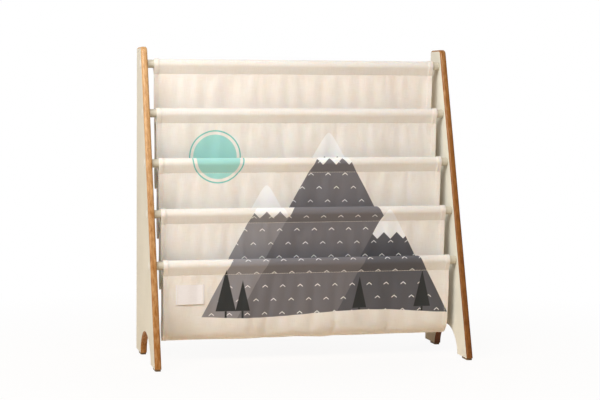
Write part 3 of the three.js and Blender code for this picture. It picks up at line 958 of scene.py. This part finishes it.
SUN_RING_HALF_WIDTH = 1.3
MARK_CELL_WIDTH = 34
MARK_CELL_HEIGHT = 26
MARK_ARM = 5
MARK_HALF_WIDTH = 0.8
MARK_SLOPE = 0.8
INK_EDGE = 0.9
THREAD_PITCH = 1.4
WARP_SLUBS = (1.1, 0.05, 0)
WEFT_SLUBS = (0.05, 1.1, 0)
CLOTH_CLOUDS = (0.02, 0.02, 0)
SEAM_CREASES = (0.16, 0.05, 0)
SEAM_CREASE_REACH = 9


def inked(inside):
    """1 inside a printed shape, where its distance in millimetres is above 0."""
    return (inside * (1 / INK_EDGE) + 0.5).clamped()


def printed_picture(u, v, cream):
    """The colour of the print over the cream of the cloth."""
    ground = inked(v - GROUND_HEIGHT - (u * (1 / GROUND_WAVE)).through("SINE") * GROUND_SWELL)
    sun_u = u - SUN_MIDDLE[0]
    sun_v = v - SUN_MIDDLE[1]
    from_sun = (sun_u * sun_u + sun_v * sun_v) ** 0.5
    picture = inked(SUN_RADIUS - from_sun).mix(cream, MINT)
    picture = inked(SUN_RING_HALF_WIDTH - abs(from_sun - SUN_RING)).mix(picture, MINT_DEEP)
    tooth = u.through("PINGPONG", SNOW_TOOTH_WIDTH / 2) * (2 * SNOW_TOOTH_HEIGHT / SNOW_TOOTH_WIDTH)
    row = (v * (1 / MARK_CELL_HEIGHT)).through("FLOOR")
    mark_u = (u + row * (MARK_CELL_WIDTH / 2)).through("WRAP", MARK_CELL_WIDTH / 2, -MARK_CELL_WIDTH / 2)
    mark_v = v.through("WRAP", MARK_CELL_HEIGHT, 0) - MARK_CELL_HEIGHT / 2
    line = inked(MARK_HALF_WIDTH - abs(mark_v + abs(mark_u) * MARK_SLOPE - MARK_ARM * MARK_SLOPE / 2))
    mark = line * inked(MARK_ARM - abs(mark_u))
    for peak in PEAKS:
        slope = (peak["top"] - PEAK_FOOT) / peak["half_width"]
        off = u - peak["middle"]
        summit = peak["top"] + PEAK_ROUNDING * slope
        under = summit - v - (off * off + PEAK_ROUNDING**2) ** 0.5 * slope
        snow = inked(v + tooth - (peak["top"] - SNOW_DEPTH))
        rock = mark.mix(peak["colour"], PRINT_WHITE)
        picture = (inked(under) * ground).mix(picture, snow.mix(rock, PRINT_WHITE))
    for middle, height in PINES:
        off = abs(u - middle)
        foot = GROUND_HEIGHT + TRUNK_HEIGHT
        crown = inked((foot + height - v) * PINE_SPREAD - off) * inked(v - foot)
        trunk = inked(TRUNK_HALF_WIDTH - off) * ground * inked(foot - v)
        picture = crown.most(trunk).mix(picture, CHARCOAL)
    return picture


def canvas_finish():
    """Cream cotton canvas with the print on one face, faintly showing through behind. The
    cloth is thin enough for some light to pass, so its shaded side glows warmly."""
    constants = {
        "Specular IOR Level": 0.08,
        "Sheen Weight": 0.05,
        "Sheen Roughness": 0.6,
        "Subsurface Weight": SEEN_THROUGH,
        "Subsurface Radius": GLOW_REACH,
        "Subsurface Scale": 1.0,
    }
    material, shade, skin = new_finish("printed_canvas", constants)
    place = shade.node("Attribute", output="Vector", attribute_name="print_place")
    u = shade.node("SeparateXYZ", {0: place})
    v = u.part("Y")
    printed = u.part("Z")
    from_seam = shade.node("Attribute", output="Fac", attribute_name="seam")
    slub = shade.noise(place, WARP_SLUBS) * 0.5 + shade.noise(place, WEFT_SLUBS) * 0.5
    cloud = shade.noise(place, CLOTH_CLOUDS, detail=3)
    cream = ((slub * 0.6 + cloud * 0.4 - 0.38) * 4).clamped().mix(CREAM, CREAM_SHADE)
    shade.feed(skin["Base Color"], printed.mix(cream, printed_picture(u, v, cream)))
    shade.feed(skin["Roughness"], 0.82 + 0.12 * slub)
    thread = 2 * math.pi / THREAD_PITCH
    weave = (u * thread).through("SINE") * (v * thread).through("SINE")
    near_seam = (1 - from_seam * (1 / SEAM_CREASE_REACH)).clamped()
    creases = shade.noise(place, SEAM_CREASES) * near_seam * near_seam
    relief = weave * 0.1 + slub * 0.5 + creases * 3
    shade.feed(skin["Normal"], shade.bump(0.5, 0.3 * MM, relief))
    return material


# The thread: natural cotton, in lock stitches along every seam and hem. The real sling is
# sewn after printing, so the stitches show pale on the dark print.
STITCH_PITCH = 3.4 * MM
STITCH_LENGTH = 2.7 * MM
STITCH_RADIUS = 0.32 * MM
STITCH_SINK = 0.1 * MM
STITCH_SIDES = 6
STITCH_RINGS = ((-1, 0.35), (-0.62, 1), (0.62, 1), (1, 0.35))
THREAD = tone(246, 240, 230)
THREAD_WORN = tone(228, 218, 203)


def sewn(name, seams, material):
    """Rows of stitches. Each seam is a line of points on the cloth and their outward directions."""
    points = []
    faces = []
    around = 2 * math.pi * np.arange(STITCH_SIDES) / STITCH_SIDES
    for line, outward in seams:
        gone = distances_along(line)
        for middle in np.arange(STITCH_PITCH, gone[-1] - STITCH_PITCH / 2, STITCH_PITCH):
            ends = [middle - STITCH_LENGTH / 2, middle, middle + STITCH_LENGTH / 2]
            first, centre, last = np.stack([np.interp(ends, gone, line[:, i]) for i in range(3)], axis=1)
            out = np.array([np.interp(middle, gone, outward[:, i]) for i in range(3)])
            along = (last - first) / np.linalg.norm(last - first)
            beside = np.cross(along, out)
            beside /= np.linalg.norm(beside)
            out = np.cross(beside, along)
            base = len(points)
            for share, width in STITCH_RINGS:
                ring = centre + out * (STITCH_RADIUS - STITCH_SINK) + along * share * STITCH_LENGTH / 2
                for angle in around:
                    spoke = beside * math.cos(angle) + out * math.sin(angle)
                    points.append(ring + spoke * STITCH_RADIUS * width)
            for r in range(len(STITCH_RINGS) - 1):
                for i in range(STITCH_SIDES):
                    j = (i + 1) % STITCH_SIDES
                    low = base + r * STITCH_SIDES
                    high = low + STITCH_SIDES
                    faces.append((low + i, high + i, high + j, low + j))
            top = base + (len(STITCH_RINGS) - 1) * STITCH_SIDES
            faces.append(tuple(base + i for i in range(STITCH_SIDES)))
            faces.append(tuple(top + i for i in reversed(range(STITCH_SIDES))))
    return new_piece(name, points, faces, material, sharp_above=80)


def simulated_sway(length, rows, columns, below):
    """How the simulation moves a length of cloth. The front of a pocket lies on the length
    below it, and moves with it: below holds that length's rows and movement."""
    on_front = length.to_front(rows)
    held = 4 * on_front * (1 - on_front) * TROUGH_HOLD if length.lowest else on_front
    held[[0, -1]] = 1
    held = np.repeat(held[:, None], len(columns), axis=1)
    sway = let_hang(length.points(rows, columns), held)
    if below is None:
        return sway
    below_rows, below_sway = below
    below_lip = length.lip[1] - length.height(rows) - SEAM_DROP
    follow = np.einsum("rs,scd->rcd", blend_weights(below_lip, below_rows), below_sway)
    share = on_front[:, None, None]
    return sway * (1 - share) + follow * share


def faces_off_middle(length, distance, from_edge, to_seam):
    """How far the cloth's two faces stand off its middle. They sink at a seam, and the hems
    are thicker, on the side away from a rod."""
    hem = smooth_step(HEM_WIDTH + HEM_STEP, HEM_WIDTH - HEM_STEP, from_edge)
    groove = SEAM_GROOVE * np.exp(-((to_seam / SEAM_GROOVE_REACH) ** 2))
    over_rod = distance < 0
    over_lip = distance > length.lip_seam
    front_share = np.where(over_rod, 1, np.where(over_lip, 0, 0.5))
    front_off = CLOTH / 2 - groove + hem * HEM_EXTRA * front_share
    back_off = CLOTH / 2 - groove + hem * HEM_EXTRA * (1 - front_share)
    return front_off, back_off


def print_places(length, distance, x):
    """Where each point lies in the print, and how much of it shows, for the cloth's two faces."""
    on_lowest_front = length.lowest & (distance > length.turn)
    back_height = length.rod[1] - SEAM_DROP - distance
    front_height = length.lip[1] - SEAM_DROP + distance - length.lip_seam
    u = x / MM
    v = np.where(on_lowest_front, front_height, back_height) / MM
    print_top = length.rod[1] + PRINT_BEHIND_TOP + SLEEVE_RADIUS
    print_bottom = length.lip[1] - PRINT_OVERLAP
    printed = smooth_step(print_bottom - MM, print_bottom + MM, back_height)
    printed = printed * smooth_step(print_top + MM, print_top - MM, back_height)
    on_face = np.where(on_lowest_front, SHOW_THROUGH, printed)
    on_reverse = np.where(on_lowest_front, 1, SHOW_THROUGH * printed)
    return np.stack((u, v, on_face), axis=2), np.stack((u, v, on_reverse), axis=2)


def seam_lines(length, rows, front, back, outward):
    """The lines that are stitched: across the cloth at its sleeves, and down both hems."""
    front_row = int(np.argmin(abs(rows)))
    lip_row = int(np.argmin(abs(rows - length.lip_seam)))
    seams = [(front[front_row], outward[front_row]), (front[1], outward[1])]
    if length.lowest:
        seams += [(back[lip_row], -outward[lip_row]), (back[-2], -outward[-2])]
    hem_column = EDGE_COLUMNS.index(HEM_SEAM / MM)
    for column in (hem_column, -1 - hem_column):
        seams.append((front[:, column], outward[:, column]))
        seams.append((back[:, column], -outward[:, column]))
    return seams


canvas_cloth = canvas_finish()
thread = two_tone_finish(
    "cotton_thread",
    tones=(THREAD, THREAD_WORN),
    per_metre=(2600, 2600, 2600),
    detail=1,
    contrast=(0.35, 3),
    roughness=(0.6, 0.2),
    relief=(0.4, 0.1 * MM),
    constants={"Specular IOR Level": 0.25},
)
low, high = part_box("rod_sleeve_1")
sling_half = (high.x - low.x) / 2
columns = canvas_columns(sling_half)
sim_columns = spaced(-sling_half, sling_half, SIM_STEP)
below = None
for number in reversed(range(1, ROD_COUNT)):
    length = CanvasLength(number)
    sim_rows = spaced(0, length.lip_seam, SIM_STEP)
    sway = simulated_sway(length, sim_rows, sim_columns, below)
    below = (sim_rows, sway)

    rows = canvas_rows(length)
    on_wall = (rows > 0) & (rows < length.lip_seam)
    row_weights = blend_weights(rows, sim_rows) * on_wall[:, None]
    column_weights = blend_weights(columns, sim_columns)
    sway = np.einsum("rs,scd,kc->rkd", row_weights, sway, column_weights)
    grid = length.points(rows, columns) + sway

    distance, x = np.meshgrid(rows, columns, indexing="ij")
    from_edge = sling_half - abs(x)
    slack = np.sin(math.pi * np.clip(distance / length.lip_seam, 0, 1)) ** 2
    pull = smooth_step(HEM_DRAW_IN_REACH, 0, from_edge) * slack * HEM_DRAW_IN
    grid[..., 0] -= np.sign(x) * pull
    to_sleeve_seam = np.minimum(abs(distance), abs(distance - length.lip_seam))
    to_seam = np.minimum(to_sleeve_seam, abs(from_edge - HEM_SEAM))
    front_off, back_off = faces_off_middle(length, distance, from_edge, to_seam)
    facts = {
        "print_place": print_places(length, distance, x),
        "seam": (to_seam / MM, to_seam / MM),
    }
    piece, front, back, outward = thick_cloth(
        f"sling_canvas_{number}", grid, front_off, back_off, facts, canvas_cloth
    )
    seams = seam_lines(length, rows, front, back, outward)
    stitching = sewn(f"sling_stitching_{number}", seams, thread)
    for part in (piece, stitching):
        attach(part, "root")
    replaced = [f"rod_sleeve_{number}", f"canvas_pocket_{number}"]
    if length.lowest:
        replaced.append(f"rod_sleeve_{number + 1}")
    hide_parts(*replaced)
    float(length.end - length.start)

# The label: a small square of white woven tape, sewn to the lowest pocket's front along all
# four sides. It carries nothing.
LABEL_TAPE = 0.5 * MM
LABEL_STEP = 3 * MM
LABEL_SEAM = 2 * MM
LABEL_PUFF = 0.5 * MM
LABEL_PUFF_REACH = (1.6 * MM, 6 * MM)
LABEL_CLEAR = 0.15 * MM
LABEL_WHITE = tone(238, 236, 236)
LABEL_SHADE = tone(233, 230, 230)
LABEL_LIFT = 1.4 * MM

low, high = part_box("canvas_label")
lowest = bpy.data.objects[f"sling_canvas_{ROD_COUNT - 1}"].data
surface = BVHTree.FromPolygons([v.co for v in lowest.vertices], [p.vertices for p in lowest.polygons])
across = spaced(low.x, high.x, LABEL_STEP)
down = spaced(high.z, low.z, LABEL_STEP)
before_all = cad_box[0][1] - 10 * MM
grid = []
for z in down:
    line = []
    for x in across:
        hit, _, _, _ = surface.ray_cast(Vector((x, before_all, z)), Vector((0, 1, 0)))
        from_border = min(x - low.x, high.x - x, z - low.z, high.z - z)
        puff = LABEL_PUFF * smooth_step(*LABEL_PUFF_REACH, from_border)
        lift = LABEL_LIFT * ((high.z - z) / (high.z - low.z)) ** 3
        line.append((x, hit.y - LABEL_CLEAR - LABEL_TAPE / 2 - puff - lift, z))
    grid.append(line)
grid = np.array(grid)
half_tape = np.full(grid.shape[:2], LABEL_TAPE / 2)
tape = two_tone_finish(
    "label_tape",
    tones=(LABEL_WHITE, LABEL_SHADE),
    per_metre=(200, 200, 2400),
    detail=1,
    contrast=(0.35, 3),
    roughness=(0.55, 0.15),
    relief=(0.15, 0.1 * MM),
    constants={"Specular IOR Level": 0.3},
)
label, front, _, outward = thick_cloth("canvas_label_tape", grid, half_tape, half_tape, {}, tape)
inset = round(LABEL_SEAM / LABEL_STEP)
borders = [
    (front[inset], outward[inset]),
    (front[-1 - inset], outward[-1 - inset]),
    (front[:, inset], outward[:, inset]),
    (front[:, -1 - inset], outward[:, -1 - inset]),
]
label_stitching = sewn("canvas_label_stitching", borders, thread)
for part in (label, label_stitching):
    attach(part, "root")
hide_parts("canvas_label")
